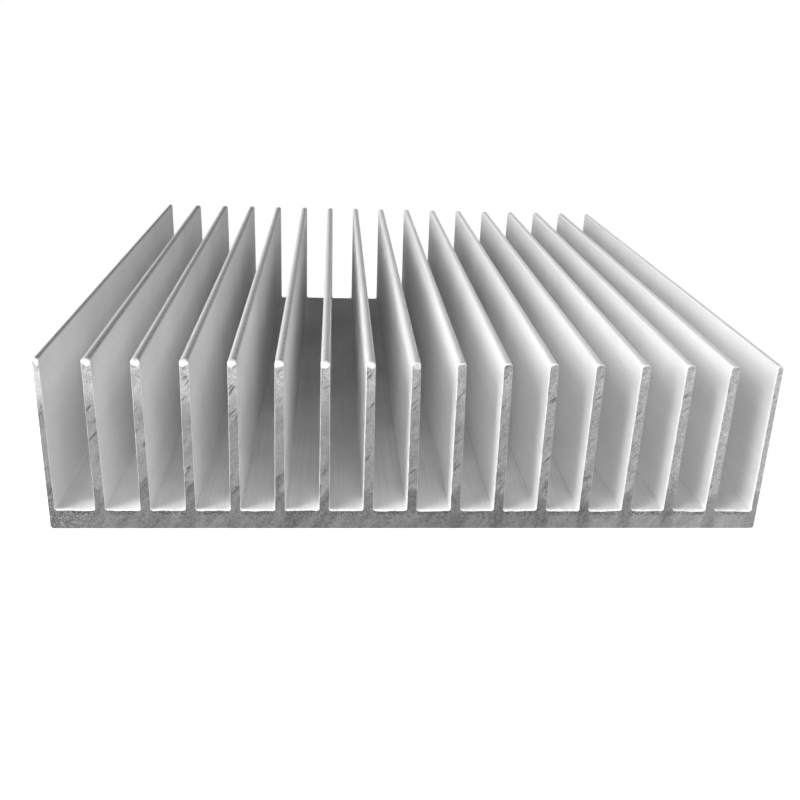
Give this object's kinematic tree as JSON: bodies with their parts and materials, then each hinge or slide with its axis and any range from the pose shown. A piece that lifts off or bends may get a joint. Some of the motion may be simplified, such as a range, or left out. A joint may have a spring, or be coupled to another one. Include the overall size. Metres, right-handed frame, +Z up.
{
  "type": "extruded heat sink",
  "caption": "Flat-based aluminium heat sink with straight parallel fins, sawn from an extruded bar, that carries heat from a part on its base to the air.",
  "frame": {"origin": "centre of the flat mounting face, on the plane that it stands on", "axes": "+X across the fins, +Y along the extrusion from one sawn end to the other, +Z up from the mounting face to the fin tips"},
  "size_m": [0.182, 0.2, 0.0455],
  "materials": {
    "mill_aluminium": "satin mill finish with fine die lines, and dull saw-cut ends"
  },
  "bodies": {
    "root": {"heat_sink": "mill_aluminium"}
  },
  "joints": []
}
